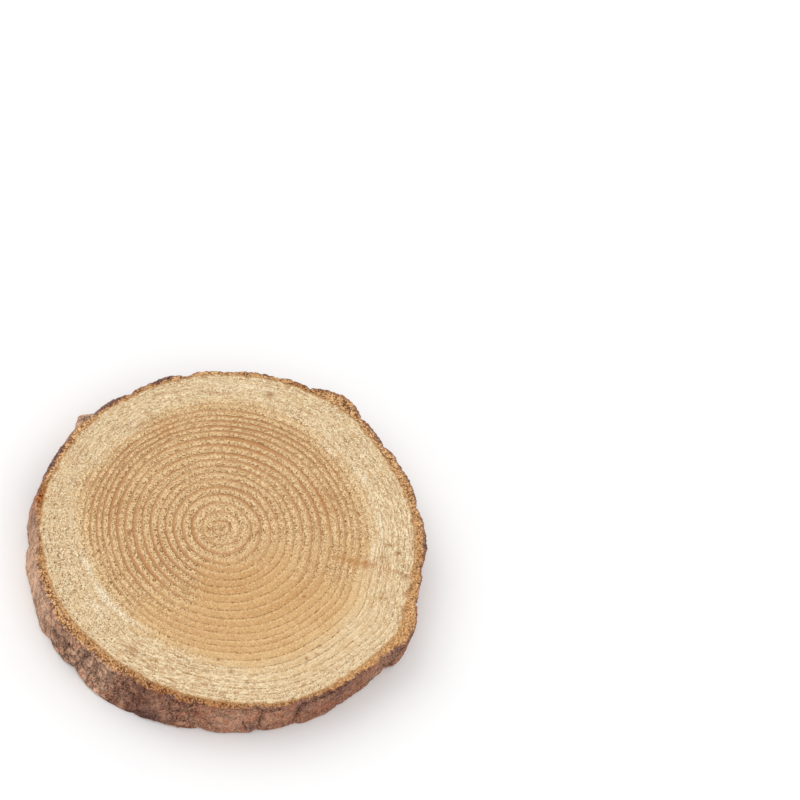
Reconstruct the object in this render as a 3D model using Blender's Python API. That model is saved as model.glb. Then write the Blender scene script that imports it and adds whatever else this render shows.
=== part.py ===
"""Wood slice: a conifer trunk sawn across, with its bark still on it.

The slice lies flat on its lower saw cut, in metres with +Z up. The upper cut shows one ridge for
each year of growth round an off-centre pith. The bark is a rough band of plates and furrows round
the rim. Wood and bark grew together, so the whole slice is one solid.
"""

import math

import bmesh
import bpy
from mathutils import Vector, noise

# Lengths are millimetres and angles are degrees. Angles run round the pith, from +X towards +Y.
MM = 0.001
THICKNESS = 17.0
TRUNK_RADIUS = 63.0
# The pith is off centre: the trunk reaches further from it on one side than on the other.
LOPSIDED = 4.8
LOPSIDED_TOWARDS = -19.0
PITH = Vector((-3.59, 2.19))
# The trunk was sawn a little off square, so the lower cut lies this far from the upper one.
SAW_LEAN = Vector((-1.6, 0.3))

# Where the trunk swells or falls in: angle, half width, height.
TRUNK_LOBES = (
    (35, 14, -0.7),
    (64, 8, 2.6),
    (101, 13, -1.2),
    (114, 6, -0.8),
    (130, 13, -1.6),
    (184, 10, 1.2),
    (225, 21, 2.8),
    (246, 10, 0.4),
    (306, 15, -0.5),
    (342, 8, 2.9),
    (0, 9, -1.0),
)
BARK_THICKNESS = 2.2
BARK_LOBES = (
    (14, 16, 1.5),
    (44, 12, 1.0),
    (65, 8, 2.0),
    (108, 16, -0.7),
    (130, 5, -0.5),
    (197, 7, -1.1),
    (236, 20, 1.5),
    (303, 13, -1.4),
    (345, 10, 1.9),
)
THINNEST_BARK = 0.5
# How much further the bark reaches at the lower cut than at the upper one.
BASE_LOBES = (
    (214, 8, -1.3),
    (257, 13, 2.7),
    (286, 10, 1.1),
    (312, 15, 1.5),
)

# Furrows part the bark into plates: angle at the lower cut, angle at the upper cut, depth.
FURROWS = (
    (1, 4, 0.5),
    (20, 24, 0.7),
    (49, 45, 0.5),
    (54, 57, 0.6),
    (77, 74, 0.7),
    (81, 84, 0.6),
    (109, 114, 0.6),
    (136, 133, 0.7),
    (145, 149, 0.5),
    (165, 162, 0.6),
    (181, 178, 0.5),
    (195, 202, 0.7),
    (227, 222, 0.6),
    (239, 243, 0.6),
    (261, 256, 0.5),
    (279, 275, 0.4),
    (296, 293, 0.6),
    (306, 306, 0.7),
    (319, 323, 0.4),
    (338, 333, 0.8),
    (354, 352, 0.5),
)
FURROW_WIDTH = 1.5
PLATE_LIFT = 0.3
PLATE_LIFT_RATE = 2.4
PLATE_CROWN = 0.4
# Shallow waves along the bark, as broad as a finger.
WAVE_LENGTH = 7.0
WAVE_HEIGHT = 0.5
# A curl of bark that stands out of the upper rim: angle, half width, height, reach down the side.
BARK_CURL = (153, 1.9, 2.0, 4.0)

# The sawn edge of the bark crumbles, so it lies lower than the wood.
RIM_MIDDLE_DROP = 0.25
RIM_EDGE_DROP = 0.7
RIM_CRUMBLE = 0.35
CRUMB_LENGTH = 2.7
BASE_EDGE_RISE = 0.7

# Growth slows towards the bark, and swings between runs of good years and poor ones.
YEARS = 24
OUTER_YEARS_SHRINK = 0.36
GOOD_YEARS_GAIN = 0.11
GOOD_YEARS_APART = 8.0
# The saw tears the soft spring wood of each year deeper than the hard summer wood at its end.
RING_GROOVE = 0.35
GROOVE_START = 0.2
RING_WOBBLE = 0.5
WOBBLE_SIZE = 1.6

# How finely the surface is divided. The innermost years need fewer steps round the pith.
BARK_STEPS = 216
RING_STEPS = 72
CORE_STEPS = 36
CORE_YEARS = 6
SIDE_LEVELS = (1.0, 3.6, 6.2, 8.8, 11.4, 14.0)

WOOD_COLOUR = (0.66, 0.45, 0.22, 1.0)
BARK_COLOUR = (0.24, 0.14, 0.10, 1.0)
WOOD_SLOT, BARK_SLOT = 0, 1


def bump(angle, centre, half_width):
    """1 at the centre angle, falling smoothly to 0 on both sides of it."""
    away = (angle - centre + 180.0) % 360.0 - 180.0
    return math.exp(-((away / half_width) ** 2))


def lobes(angle, features):
    """What all the swellings and hollows of one list add up to at this angle."""
    return sum(height * bump(angle, centre, width) for centre, width, height in features)


def direction(angle):
    """The way from the pith at this angle, one unit long."""
    return Vector((math.cos(math.radians(angle)), math.sin(math.radians(angle))))


def trunk_radius(angle):
    """From the pith out to the middle of the bark's surface."""
    lopsided = LOPSIDED * math.cos(math.radians(angle - LOPSIDED_TOWARDS))
    return TRUNK_RADIUS + lopsided + lobes(angle, TRUNK_LOBES)


def wood_radius(angle):
    return trunk_radius(angle) - BARK_THICKNESS - lobes(angle, BARK_LOBES)


def furrow_angles(height):
    """Furrows slant, so they cross each height of the bark at other angles."""
    return [low + (high - low) * height / THICKNESS for low, high, depth in FURROWS]


def plate_relief(angle, height):
    """Arched plates of bark, each a little higher or lower than the next, with furrows between."""
    places = furrow_angles(height)
    passed = sum(1 for place in places if place <= angle % 360.0) - 1
    plate = passed % len(places)
    width = (places[(plate + 1) % len(places)] - places[plate]) % 360.0
    share = ((angle - places[plate]) % 360.0) / width
    lift = PLATE_LIFT * math.sin(PLATE_LIFT_RATE * plate)
    crown = PLATE_CROWN * 4.0 * share * (1.0 - share)
    half_width = math.degrees(FURROW_WIDTH / TRUNK_RADIUS)
    furrow = sum(
        depth * bump(angle, place, half_width) for place, (low, high, depth) in zip(places, FURROWS)
    )
    return lift + crown - furrow


def bark_relief(angle, height):
    """How far the bark's surface stands out of the trunk's smooth outline."""
    outward = direction(angle) * TRUNK_RADIUS
    wave = WAVE_HEIGHT * noise.noise(Vector((outward.x, outward.y, height)) / WAVE_LENGTH)
    curl_angle, curl_width, curl_height, curl_reach = BARK_CURL
    curl = curl_height * bump(angle, curl_angle, curl_width)
    curl *= math.exp(-(((THICKNESS - height) / curl_reach) ** 2))
    spread = lobes(angle, BASE_LOBES) * (1.0 - height / THICKNESS)
    return plate_relief(angle, height) + wave + curl + spread


def outer_radius(angle, height):
    return max(trunk_radius(angle) + bark_relief(angle, height), wood_radius(angle) + THINNEST_BARK)


def crumble(angle, part_of_rim):
    """How much more than usual the sawn bark has crumbled, which differs along the rim."""
    outward = direction(angle) * TRUNK_RADIUS
    return RIM_CRUMBLE * noise.noise(Vector((outward.x, outward.y, part_of_rim)) / CRUMB_LENGTH)


def point(angle, radius, height):
    """The place of a point of the trunk, from its angle and distance round the pith."""
    lean = SAW_LEAN * (1.0 - height / THICKNESS)
    flat = PITH + lean + direction(angle) * radius
    return Vector((flat.x, flat.y, height)) * MM


def year_ends():
    """The share of the way from pith to bark at which each year's ring ends."""
    widths = []
    for year in range(1, YEARS + 1):
        gain = GOOD_YEARS_GAIN * math.sin(math.tau * (year - 1) / GOOD_YEARS_APART)
        widths.append(1.0 - OUTER_YEARS_SHRINK * year / YEARS + gain)
    return [sum(widths[:year]) / sum(widths) for year in range(1, YEARS + 1)]


def ring_radius(angle, share):
    """Rings are round near the pith and take on the trunk's outline near the bark."""
    outline = share * wood_radius(angle) + (1.0 - share) * TRUNK_RADIUS
    wave = direction(angle) * WOBBLE_SIZE
    wobble = RING_WOBBLE * noise.noise(Vector((wave.x, wave.y, YEARS * share / WOBBLE_SIZE)))
    return share * outline + wobble * 4.0 * share * (1.0 - share)


def add_loop(mesh, steps, radius_at, height_at):
    """One closed row of points round the pith."""
    angles = [360.0 * step / steps for step in range(steps)]
    return [mesh.verts.new(point(angle, radius_at(angle), height_at(angle))) for angle in angles]


def join_loops(mesh, inner, outer, slot):
    """Faces between two rows, where the outer row has one, two or three points for each inner one."""
    ratio = len(outer) // len(inner)
    for step, start in enumerate(inner):
        end = inner[(step + 1) % len(inner)]
        arc = [outer[(step * ratio + extra) % len(outer)] for extra in range(ratio + 1)]
        corners = [[start, arc[0], arc[1], end]] if ratio == 1 else []
        if ratio > 1:
            turn = (ratio + 1) // 2
            corners = [[start, arc[extra], arc[extra + 1]] for extra in range(turn)]
            corners += [[end, arc[extra], arc[extra + 1]] for extra in range(turn, ratio)]
            corners.append([start, arc[turn], end])
        for corner in corners:
            mesh.faces.new(corner).material_index = slot


def close_loop(mesh, loop, centre, slot):
    """Flat triangles from a row to its middle."""
    middle = mesh.verts.new(centre)
    for step, start in enumerate(loop):
        mesh.faces.new([start, loop[(step + 1) % len(loop)], middle]).material_index = slot


def add_upper_cut(mesh):
    """The flat pith, then a groove and a ridge for each year. Returns the row at the wood's edge."""
    ends = year_ends()
    steps = CORE_STEPS
    row = add_loop(mesh, steps, lambda angle: ring_radius(angle, ends[0]), lambda angle: THICKNESS)
    close_loop(mesh, row, point(0.0, 0.0, THICKNESS), WOOD_SLOT)
    for year in range(1, YEARS):
        steps = CORE_STEPS if year < CORE_YEARS else RING_STEPS
        groove_share = ends[year - 1] + GROOVE_START * (ends[year] - ends[year - 1])
        for share, height in ((groove_share, THICKNESS - RING_GROOVE), (ends[year], THICKNESS)):
            outer = add_loop(
                mesh,
                steps,
                lambda angle, share=share: ring_radius(angle, share),
                lambda angle, height=height: height,
            )
            join_loops(mesh, row, outer, WOOD_SLOT)
            row = outer
    return row


def add_bark(mesh, wood_edge):
    """The bark's sawn rim, its side and its lower edge. Returns the row where the flat base starts."""

    def rim_radius(angle):
        return 0.5 * (wood_radius(angle) + outer_radius(angle, THICKNESS))

    row = add_loop(
        mesh,
        BARK_STEPS,
        rim_radius,
        lambda angle: THICKNESS - RIM_MIDDLE_DROP - abs(crumble(angle, 0.0)),
    )
    join_loops(mesh, wood_edge, row, BARK_SLOT)
    top_edge = THICKNESS - RIM_EDGE_DROP
    outer = add_loop(
        mesh,
        BARK_STEPS,
        lambda angle: outer_radius(angle, THICKNESS),
        lambda angle: top_edge + crumble(angle, 9.0),
    )
    join_loops(mesh, row, outer, BARK_SLOT)
    row = outer
    for level in reversed(SIDE_LEVELS):
        outer = add_loop(
            mesh,
            BARK_STEPS,
            lambda angle, level=level: outer_radius(angle, level),
            lambda angle, level=level: level,
        )
        join_loops(mesh, row, outer, BARK_SLOT)
        row = outer
    base = add_loop(
        mesh,
        BARK_STEPS,
        lambda angle: outer_radius(angle, 0.0) - BASE_EDGE_RISE,
        lambda angle: 0.0,
    )
    join_loops(mesh, row, base, BARK_SLOT)
    return base


def add_lower_cut(mesh, bark_edge):
    """The flat lower cut, on which the slice rests: a ring of bark round a disc of wood."""
    wood = add_loop(mesh, BARK_STEPS, wood_radius, lambda angle: 0.0)
    join_loops(mesh, bark_edge, wood, BARK_SLOT)
    close_loop(mesh, wood, point(0.0, 0.0, 0.0), WOOD_SLOT)


def make_material(name, colour, roughness):
    material = bpy.data.materials.new(name)
    material.use_nodes = True
    shader = material.node_tree.nodes["Principled BSDF"]
    shader.inputs["Base Color"].default_value = colour
    shader.inputs["Roughness"].default_value = roughness
    shader.inputs["Metallic"].default_value = 0.0
    return material


def make_slice():
    mesh = bmesh.new()
    wood_edge = add_upper_cut(mesh)
    bark_edge = add_bark(mesh, wood_edge)
    add_lower_cut(mesh, bark_edge)
    bmesh.ops.recalc_face_normals(mesh, faces=mesh.faces)
    data = bpy.data.meshes.new("wood_slice")
    mesh.to_mesh(data)
    mesh.free()
    data.materials.append(make_material("sawn_wood", WOOD_COLOUR, 0.85))
    data.materials.append(make_material("bark", BARK_COLOUR, 0.9))
    slice_object = bpy.data.objects.new("wood_slice", data)
    bpy.context.scene.collection.objects.link(slice_object)


def main():
    for old in list(bpy.data.objects):
        bpy.data.objects.remove(old)
    make_slice()


main()
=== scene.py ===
"""Looks of the wood slice: rough sawn growth rings inside a band of dry, flaking bark.

Two halves of wood carry the upper and the lower saw cut, and a closed ring of bark goes round them.
Their outline, rings, plates and furrows follow the same formulas as the solid slice, with finer
relief. Lengths are millimetres and angles are degrees, which run round the pith from +X towards +Y.
"""

import math

import bpy
import numpy as np
from mathutils import Matrix, Vector, noise


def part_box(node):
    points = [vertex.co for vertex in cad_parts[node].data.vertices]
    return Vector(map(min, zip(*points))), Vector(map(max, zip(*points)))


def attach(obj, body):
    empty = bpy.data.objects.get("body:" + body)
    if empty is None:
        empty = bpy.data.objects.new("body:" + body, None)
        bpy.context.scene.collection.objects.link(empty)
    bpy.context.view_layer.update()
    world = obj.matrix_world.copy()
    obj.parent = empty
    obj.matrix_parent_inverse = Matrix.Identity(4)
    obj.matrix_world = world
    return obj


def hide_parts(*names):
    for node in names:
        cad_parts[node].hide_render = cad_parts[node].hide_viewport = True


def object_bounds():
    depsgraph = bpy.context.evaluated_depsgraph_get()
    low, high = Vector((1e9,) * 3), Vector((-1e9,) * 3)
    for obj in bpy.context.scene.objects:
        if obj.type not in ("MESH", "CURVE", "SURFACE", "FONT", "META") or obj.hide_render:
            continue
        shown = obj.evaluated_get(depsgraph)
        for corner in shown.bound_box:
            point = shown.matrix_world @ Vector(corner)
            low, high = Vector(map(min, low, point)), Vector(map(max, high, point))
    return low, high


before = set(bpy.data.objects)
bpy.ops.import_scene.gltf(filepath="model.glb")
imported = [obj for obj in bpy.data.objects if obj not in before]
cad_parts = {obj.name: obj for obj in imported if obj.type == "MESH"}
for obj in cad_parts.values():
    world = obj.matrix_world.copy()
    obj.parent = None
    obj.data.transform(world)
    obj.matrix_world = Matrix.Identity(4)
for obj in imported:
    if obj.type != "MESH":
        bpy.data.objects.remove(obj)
cad_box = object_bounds()

MM = 0.001
NODE = "wood_slice"
BODY = "root"
SEED = 24

# Outline of the trunk, as in the solid slice. The slice is as thick as its solid.
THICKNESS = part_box(NODE)[1].z / MM
TRUNK_RADIUS = 63.0
LOPSIDED = 4.8
LOPSIDED_TOWARDS = -19.0
PITH = (-3.59, 2.19)
SAW_LEAN = (-1.6, 0.3)
TRUNK_LOBES = (
    (35, 14, -0.7),
    (64, 8, 2.6),
    (101, 13, -1.2),
    (114, 6, -0.8),
    (130, 13, -1.6),
    (184, 10, 1.2),
    (225, 21, 2.8),
    (246, 10, 0.4),
    (306, 15, -0.5),
    (342, 8, 2.9),
    (0, 9, -1.0),
)
BARK_THICKNESS = 2.2
BARK_LOBES = (
    (14, 16, 1.5),
    (44, 12, 1.0),
    (65, 8, 2.0),
    (108, 16, -0.7),
    (130, 5, -0.5),
    (197, 7, -1.1),
    (236, 20, 1.5),
    (303, 13, -1.4),
    (345, 10, 1.9),
)
THINNEST_BARK = 0.5
BASE_LOBES = (
    (214, 8, -1.3),
    (257, 13, 2.7),
    (286, 10, 1.1),
    (312, 15, 1.5),
)
FURROWS = (
    (1, 4, 0.5),
    (20, 24, 0.7),
    (49, 45, 0.5),
    (54, 57, 0.6),
    (77, 74, 0.7),
    (81, 84, 0.6),
    (109, 114, 0.6),
    (136, 133, 0.7),
    (145, 149, 0.5),
    (165, 162, 0.6),
    (181, 178, 0.5),
    (195, 202, 0.7),
    (227, 222, 0.6),
    (239, 243, 0.6),
    (261, 256, 0.5),
    (279, 275, 0.4),
    (296, 293, 0.6),
    (306, 306, 0.7),
    (319, 323, 0.4),
    (338, 333, 0.8),
    (354, 352, 0.5),
)
FURROW_WIDTH = 1.5
PLATE_LIFT = 0.3
PLATE_LIFT_RATE = 2.4
PLATE_CROWN = 0.4
WAVE_LENGTH = 7.0
WAVE_HEIGHT = 0.5
BARK_CURL = (153, 1.9, 2.0, 4.0)
RIM_MIDDLE_DROP = 0.25
RIM_EDGE_DROP = 0.7
RIM_CRUMBLE = 0.35
CRUMB_LENGTH = 2.7
BASE_EDGE_RISE = 0.7

# Growth rings, as in the solid slice.
YEARS = 24
OUTER_YEARS_SHRINK = 0.36
GOOD_YEARS_GAIN = 0.11
GOOD_YEARS_APART = 8.0
RING_WOBBLE = 0.5
WOBBLE_SIZE = 1.6

# Relief of the saw cuts. Each year has one row of points at each of these shares of its growth.
UPPER_ROWS = (0.05, 0.16, 0.36, 0.57, 0.78, 1.0)
LOWER_ROWS = (0.16, 0.57, 1.0)
LOWER_CUT_CLEAN = 0.3
TORN_GROOVE = 0.3
TORN_GROOVE_AT = 0.16
CLEAN_GROOVE = 0.24
CLEAN_GROOVE_AT = 0.05
CLEAN_GROOVE_WIDTH = 0.06
GROOVE_DOT_SIZE = 0.7
SAW_GRAIN = 0.05
SAW_TEAR = 0.09
SAW_TEAR_SIZE = 1.4

# The saw cut cleanly in one sector of the wood and tore the rest: middle, half width, inner radius.
CLEAN_SECTOR = (306.0, 52.0, 9.0)
# Patches make its edges uneven, by these degrees round and millimetres out. They also move the
# heartwood's edge, by this share of the way out.
PATCH_SIZE = 11.0
PATCH_TURN = 20.0
PATCH_OUT = 5.0
PATCH_SHARE = 0.04
# Sapwood that the saw tore in that sector too: middle, half width, how much.
TORN_SAPWOOD = (268.0, 30.0, 0.85)
# The outermost wood, torn in the sector too: where that starts and is at its full, how much.
TORN_EDGE = (0.86, 0.97, 0.55)
# The share of the way to the bark at which the heartwood ends, and where that swells or falls in.
HEART_SHARE = 0.76
HEART_LOBES = (
    (10, 14, 0.01),
    (45, 18, 0.03),
    (105, 28, 0.05),
    (180, 14, 0.04),
    (226, 20, -0.025),
    (295, 30, 0.045),
    (350, 10, -0.02),
)
# Where the dark summer wood is broad: angle, half width, share of the way out, half width, strength.
BROAD_SUMMER_WOOD = (
    (85, 34, 0.58, 0.2, 1.0),
    (35, 26, 0.5, 0.22, 0.6),
    (140, 26, 0.62, 0.2, 0.6),
    (182, 28, 0.58, 0.22, 0.9),
    (225, 34, 0.42, 0.24, 1.0),
    (268, 26, 0.26, 0.12, 0.9),
    (330, 40, 0.17, 0.09, 0.5),
    (200, 80, 0.2, 0.12, 0.7),
    (70, 50, 0.24, 0.12, 0.6),
)
# Where the sapwood is torn into streaks along the rings: angle, half width, strength.
STREAKY_SAPWOOD = (
    (262, 26, 1.0),
    (292, 12, 0.4),
    (18, 28, 1.0),
    (330, 30, 0.45),
    (85, 30, 0.7),
    (140, 28, 0.9),
)
# A knot's streak and some smooth brownish places: angle, radius, half sizes round and out, strength.
KNOT = (
    (0.4, 44.5, 1.7, 8.0, 0.85),
    (0.8, 49.0, 2.0, 4.5, 0.95),
    (0.6, 54.5, 1.1, 3.2, 0.9),
    (128, 40.5, 5.0, 3.0, 0.45),
    (33, 36.0, 7.0, 2.6, 0.4),
    (181, 53.0, 12.0, 6.0, 0.18),
    (268, 56.0, 16.0, 4.0, 0.16),
)
# Small resin spots, and stretches of ring where the saw left brown pits or tore up white fibres, in
# the same order.
RESIN_SPOTS = (
    (286, 52.4, 0.7, 0.8, 0.8),
    (291, 56.4, 0.7, 0.7, 0.7),
    (313.4, 53.6, 0.6, 0.7, 0.9),
    (317.4, 53.8, 0.5, 0.5, 0.8),
    (320.4, 52.0, 0.5, 0.6, 0.8),
    (308, 61.7, 0.6, 0.6, 0.6),
    (331.6, 35.6, 0.5, 0.5, 1.0),
    (349.3, 56.3, 0.6, 0.6, 0.8),
    (350, 57.8, 0.5, 0.5, 0.8),
    (0, 61.3, 0.7, 0.8, 0.8),
    (7.5, 58.0, 0.7, 0.8, 0.9),
    (10, 54.8, 0.6, 1.4, 0.6),
    (23.6, 45.7, 0.7, 0.5, 1.0),
    (85, 53.8, 1.6, 1.2, 0.6),
    (187.4, 54.1, 0.5, 0.4, 1.0),
    (200, 30.0, 1.1, 0.6, 0.7),
    (251, 54.9, 2.4, 1.5, 0.45),
    (258.5, 57.1, 0.8, 0.7, 0.7),
    (281.5, 48.2, 0.6, 0.5, 0.8),
    (10, 12.0, 1.1, 0.7, 0.8),
)
BROWN_TEARS = (
    (148.5, 49.2, 2.0, 0.5, 1.0),
    (142, 47.6, 3.0, 0.5, 0.9),
    (136, 44.9, 6.0, 0.6, 0.8),
    (152, 41.2, 5.0, 0.5, 0.6),
    (159, 38.6, 3.0, 0.5, 0.6),
    (175, 44.6, 1.4, 0.5, 0.8),
    (97, 34.8, 2.2, 0.6, 0.7),
    (66, 42.0, 4.0, 0.5, 0.5),
    (104, 50.5, 5.0, 0.5, 0.5),
    (124, 52.5, 5.0, 0.5, 0.5),
    (163, 52.0, 4.0, 0.5, 0.5),
)
WHITE_TEARS = (
    (214, 46.2, 4.0, 1.0, 0.8),
    (229, 46.7, 6.0, 1.1, 1.0),
    (238, 46.4, 5.0, 1.0, 0.9),
    (247, 45.8, 4.0, 0.8, 0.6),
    (232, 51.0, 4.0, 1.2, 0.5),
    (38, 51.7, 4.0, 1.2, 0.6),
    (56, 47.5, 5.0, 1.0, 0.5),
    (17, 52.4, 6.0, 0.7, 0.7),
    (6, 49.8, 5.0, 0.7, 0.8),
    (92, 54.5, 7.0, 0.8, 0.5),
)

# How finely the bark is divided, and the size of its fine relief.
BARK_STEPS = 1440
RIM_ROWS = 10
WALL_ROWS = 46
LOWER_RIM_ROWS = 4
RIM_OVERLAP = 0.1
HIDDEN_OVERLAP = 0.5
HIDDEN_DROP = 0.6
FIBRE_HEIGHT = 0.12
FIBRE_SIZE = 0.8
FIBRE_DRAWN_OUT = 6.0
LUMP_HEIGHT = 0.2
LUMP_SIZE = 2.3
SCALY_PATCH_SIZE = 13.0
SCALE_SIZE = (3.0, 3.0, 4.8)
SCALE_GAP = 0.08
SCALE_WARP = 0.9
SCALE_GROOVE = 0.22
SCALE_LIFT = 0.2
SCALE_LIFT_RATES = (91.7, 53.1, 37.9)
CRUMB_HEIGHT = 0.26
SKIN_GRAIN = 0.03
RAGGED_EDGE = 0.35
TOOTH_HEIGHT = 0.3
TOOTH_REACH = 1.2
# Cracks in the bark, each a width and a run of points: angle, height above the lower cut.
RIFTS = (
    (0.5, ((288, 15.6), (294, 15.0), (297, 14.6), (300, 15.3))),
    (0.28, ((294.6, 14.4), (295.2, 11.4), (294.9, 8.0), (295.7, 5.0), (295.4, 2.0))),
    (0.55, ((319, 16.0), (315.5, 15.4), (312, 14.6), (309, 14.0))),
    (0.4, ((309, 14.0), (307, 13.2), (306.1, 10.5), (306.4, 7.6))),
    (0.28, ((306.3, 7.0), (305.9, 4.5), (305.7, 2.0))),
    (0.5, ((339.6, 15.0), (338.3, 10.0), (337.4, 7.0))),
    (0.3, ((337.4, 7.0), (338.1, 4.0), (339.0, 2.0))),
    (0.35, ((243.5, 14.9), (246.5, 15.4), (250.5, 14.8), (253.5, 14.1))),
    (0.3, ((268, 15.8), (268.8, 12.5), (269.3, 8.0))),
    (0.28, ((275, 15.4), (273.8, 12.8))),
    (0.35, ((234.8, 12.0), (234.5, 7.5), (233.9, 5.0))),
    (0.25, ((280, 7.5), (282.5, 4.5))),
    (0.28, ((290, 8.0), (292.5, 2.5))),
    (0.28, ((181.5, 15.4), (180.5, 11.0), (181, 6.0))),
    (0.25, ((202, 12.6), (200.8, 10.5))),
    (0.3, ((322, 15.9), (326.5, 15.5), (329, 15.9))),
    (0.3, ((12, 16.5), (14, 9.0), (11, 2.0))),
    (0.35, ((41, 15.0), (43.5, 8.0), (43, 0.5))),
    (0.3, ((58, 14.0), (66, 14.6), (72, 13.0))),
    (0.4, ((97, 16.5), (98.5, 8.0), (96, 1.0))),
    (0.3, ((120, 4.0), (126, 5.5), (131, 3.0))),
    (0.3, ((131, 16.5), (133, 10.0), (132, 5.0))),
    (0.3, ((158, 12.0), (163, 9.0), (165, 0.5))),
)
RIFT_DEPTH = 0.8
BARK_UNDER_RIFT = 0.3
RIFT_LIFT = 0.25
RIFT_LIFT_REACH = 2.5
# Stained and bleached places on the bark: angle, height, half sizes round and up, strength. Some dark
# ones, just under the rim near 297, 308 to 312 and 321 degrees, are painted shade in hollows under the
# rim's edge, not stains.
DARK_PATCHES = (
    (228, 8.6, 0.8, 1.6, 1.0),
    (229, 6.8, 0.5, 1.2, 0.8),
    (233, 10.0, 2.0, 4.5, 0.55),
    (237.8, 6.8, 0.6, 1.2, 0.7),
    (241.5, 10.6, 0.6, 1.5, 0.7),
    (247.7, 7.2, 0.7, 1.3, 0.7),
    (251, 15.3, 1.8, 0.8, 0.8),
    (250.5, 9.5, 0.8, 1.8, 0.4),
    (258, 8.5, 1.8, 3.5, 0.6),
    (260.2, 9.6, 0.6, 1.0, 0.8),
    (255.5, 3.0, 0.8, 2.8, 0.5),
    (258.5, 3.0, 1.0, 3.0, 0.5),
    (269, 13.8, 1.4, 2.4, 0.7),
    (274.4, 14.4, 1.0, 1.6, 0.7),
    (276, 4.2, 0.9, 1.4, 0.4),
    (297, 14.6, 2.6, 0.6, 0.8),
    (312, 15.0, 3.0, 1.0, 1.0),
    (308, 13.6, 1.6, 0.6, 0.8),
    (321.5, 14.8, 1.6, 0.8, 0.4),
    (331, 5.0, 1.2, 3.0, 0.35),
    (190.8, 7.5, 1.6, 3.5, 0.5),
    (188, 4.2, 0.9, 0.9, 0.5),
    (214, 13.6, 1.2, 1.0, 0.5),
    (14, 6.0, 4.0, 5.0, 0.5),
    (52, 9.0, 3.0, 4.0, 0.6),
    (83, 4.0, 2.0, 3.0, 0.7),
    (112, 11.0, 1.5, 4.0, 0.8),
    (140, 5.0, 3.0, 4.0, 0.5),
    (171, 8.0, 1.5, 5.0, 0.6),
)
PURPLE_PATCHES = (
    (264.2, 2.8, 5.0, 4.0, 1.1),
    (306, 10.5, 2.6, 3.0, 0.8),
    (293.0, 3.4, 1.6, 1.6, 0.7),
    (240.8, 13.6, 1.4, 2.4, 0.8),
    (319, 12.0, 3.2, 4.2, 0.65),
    (317.5, 15.6, 1.6, 1.0, 0.6),
    (283.6, 0.6, 0.9, 1.8, 0.7),
    (294.3, 1.4, 2.0, 1.8, 0.5),
    (296, 15.9, 4.5, 0.8, 0.6),
    (191, 9.0, 3.0, 7.0, 0.35),
    (200, 16.3, 14.0, 0.6, 1.0),
    (220, 15.6, 6.0, 0.7, 0.8),
    (155.3, 14.8, 0.9, 2.0, 1.0),
    (33, 5.0, 4.0, 4.0, 0.8),
    (88, 12.0, 4.0, 3.0, 0.7),
    (125, 13.5, 6.0, 2.6, 0.8),
    (143, 14.0, 7.0, 2.6, 0.8),
    (170, 14.5, 7.0, 2.2, 0.6),
)
WARM_PATCHES = (
    (228, 14.2, 4.0, 1.8, 0.7),
    (251, 3.4, 0.8, 1.8, 0.8),
    (253, 2.0, 1.0, 3.0, 0.5),
    (246.5, 3.5, 2.5, 3.5, 0.5),
    (285, 13.0, 0.9, 1.4, 0.8),
    (278, 11.5, 4.0, 4.0, 0.3),
    (302, 7.0, 4.0, 7.0, 0.35),
    (316, 4.0, 7.0, 5.0, 0.4),
    (331.6, 15.0, 3.0, 1.5, 0.9),
    (183, 10.0, 4.0, 7.0, 0.7),
    (196, 16.2, 14.0, 0.7, 0.8),
    (155.3, 14.8, 0.9, 2.0, 0.9),
    (8, 13.0, 6.0, 3.0, 0.5),
    (64, 5.0, 5.0, 5.0, 0.5),
    (104, 5.0, 5.0, 6.0, 0.5),
    (152, 4.0, 5.0, 4.0, 0.5),
)
PALE_PATCHES = (
    (206, 7.0, 9.0, 8.0, 0.9),
    (218, 13.5, 4.0, 3.0, 0.7),
    (228, 2.5, 4.0, 2.5, 0.6),
    (237, 9.5, 2.4, 3.6, 0.45),
    (186, 4.0, 3.0, 6.0, 0.6),
    (244, 9.0, 2.6, 5.0, 0.4),
    (265, 10.5, 3.6, 4.0, 0.4),
    (277, 5.5, 4.0, 3.5, 0.3),
    (310.5, 9.5, 2.4, 3.0, 0.25),
    (335.4, 8.0, 1.4, 5.0, 0.6),
    (28, 12.0, 6.0, 4.0, 0.5),
    (70, 10.0, 5.0, 4.0, 0.6),
    (98, 9.0, 4.0, 5.0, 0.5),
    (155, 11.0, 5.0, 4.0, 0.6),
    (151.6, 15.0, 1.6, 2.4, 1.0),
)
# Where the outside of the bark is lighter or darker than elsewhere: angle, half width, strength. This
# is partly the bark's own tone and partly painted light and shade: the side facing -X, from about 189
# to 247 degrees, is painted lighter, and the front, near 261 and 318 degrees, is painted darker.
WALL_TONE = (
    (189, 8, 0.45),
    (208, 13, 1.0),
    (226, 7, 0.5),
    (237, 5, 0.4),
    (247, 6, 0.7),
    (261, 6, -0.9),
    (272, 6, -0.1),
    (286, 9, 0.3),
    (298, 6, 0.15),
    (318, 9, -0.45),
    (333, 5, 0.3),
    (40, 22, 0.3),
    (95, 18, -0.3),
    (150, 14, 0.4),
    (152, 2.5, 0.6),
)
# Where the outside is broken into rough flakes, with more stains and more painted shade in the wider
# gaps between them: angle, half width, strength.
RUGGED_LOBES = (
    (188, 7, 0.5),
    (216, 5, 0.3),
    (309, 6, 0.4),
    (230, 7, 0.8),
    (241, 8, 1.0),
    (258, 10, 1.0),
    (274, 6, 0.7),
    (296, 3, 0.3),
    (335, 6, 0.7),
    (60, 14, 0.8),
    (110, 12, 0.8),
    (172, 8, 0.6),
)
# The angle of a pale nub of bark that curls away from the rim.
PALE_NUB = 153.5
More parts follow.
